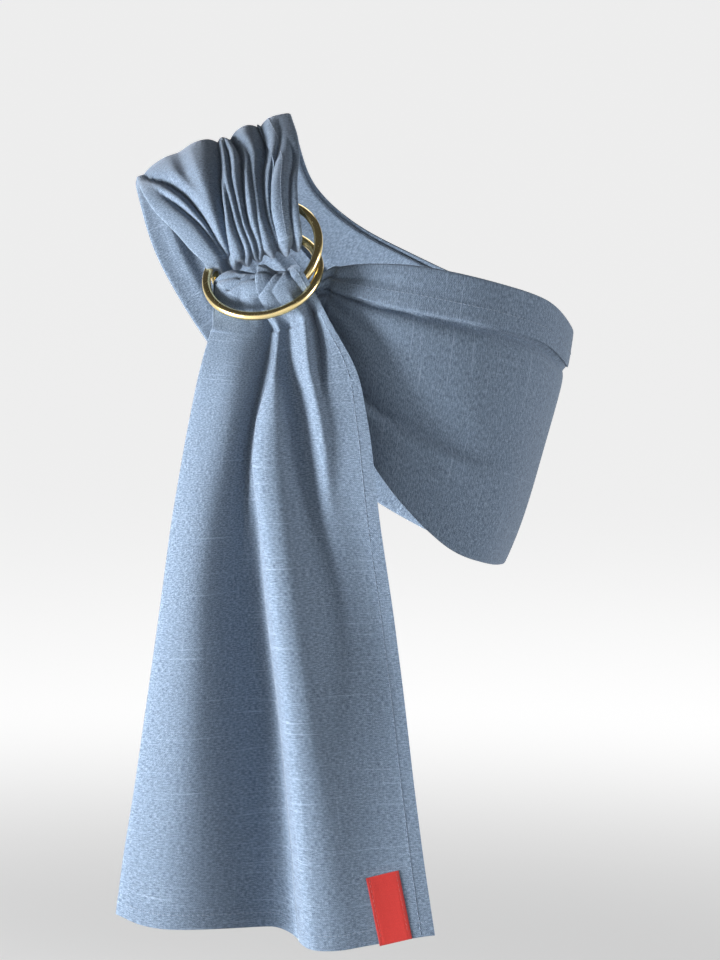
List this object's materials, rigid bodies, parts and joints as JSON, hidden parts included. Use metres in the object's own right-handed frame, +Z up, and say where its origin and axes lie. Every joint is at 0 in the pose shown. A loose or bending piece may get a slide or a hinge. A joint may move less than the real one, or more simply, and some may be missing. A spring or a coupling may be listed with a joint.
{
  "type": "ring sling baby carrier",
  "caption": "Ring sling baby carrier: one long linen cloth sewn round two metal rings at the shoulder, worn as a diagonal loop with a hanging tail.",
  "frame": {"origin": "on the underside of the shoulder section, where it lies on top of the wearer's right shoulder", "axes": "+X to the wearer's left, +Y to the wearer's back, +Z up"},
  "size_m": [0.3305, 0.2793, 0.5945],
  "materials": {
    "linen": "plain-woven linen, denim blue, matt",
    "thread": "sewing thread, blue",
    "gold_aluminium": "gold anodised, satin",
    "red_label": "woven ribbon",
    "red_thread": "sewing thread, red"
  },
  "bodies": {
    "loop": {"shoulder_cap": "linen", "ring_casing": "linen", "casing_return_flap": "linen", "casing_stitch_row_1": "thread", "casing_stitch_row_2": "thread", "casing_stitch_row_3": "thread", "back_panel": "linen", "side_panel": "linen", "chest_panel": "linen", "chest_top_band": "linen", "chest_throat": "linen"},
    "rear_ring": {"ring_rear": "gold_aluminium", "threaded_bight": "linen"},
    "front_ring": {"ring_front": "gold_aluminium"},
    "neck": {"tail_neck": "linen"},
    "upper_tail": {"tail_upper": "linen"},
    "lower_tail": {"tail_lower": "linen", "tail_end_hem": "linen", "hem_stitch": "thread", "label": "red_label", "label_stitch_left": "red_thread", "label_stitch_right": "red_thread"}
  },
  "joints": [
    {"name": "rear_ring_lift", "type": "hinge", "parent": "loop", "child": "rear_ring", "pos_m": [0.0311, -0.0816, -0.0597], "axis": [-0.8189, 0.009, -0.5739], "range_deg": [0, 8]},
    {"name": "front_ring_tilt", "type": "hinge", "parent": "rear_ring", "child": "front_ring", "pos_m": [0.0402, -0.0972, -0.0761], "axis": [-0.8427, 0.4858, 0.2319], "range_deg": [0, 9]},
    {"name": "tail_feed", "type": "slide", "parent": "rear_ring", "child": "neck", "axis": [0, -0.047, -0.9989], "range_m": [0, 0.06]},
    {"name": "tail_swing", "type": "hinge", "parent": "neck", "child": "upper_tail", "pos_m": [0.05, -0.1231, -0.182], "axis": [-1, 0, 0], "range_deg": [0, 70]},
    {"name": "tail_fold", "type": "hinge", "parent": "upper_tail", "child": "lower_tail", "pos_m": [0.045, -0.1321, -0.372], "axis": [-1, 0, 0], "range_deg": [0, 90]}
  ]
}
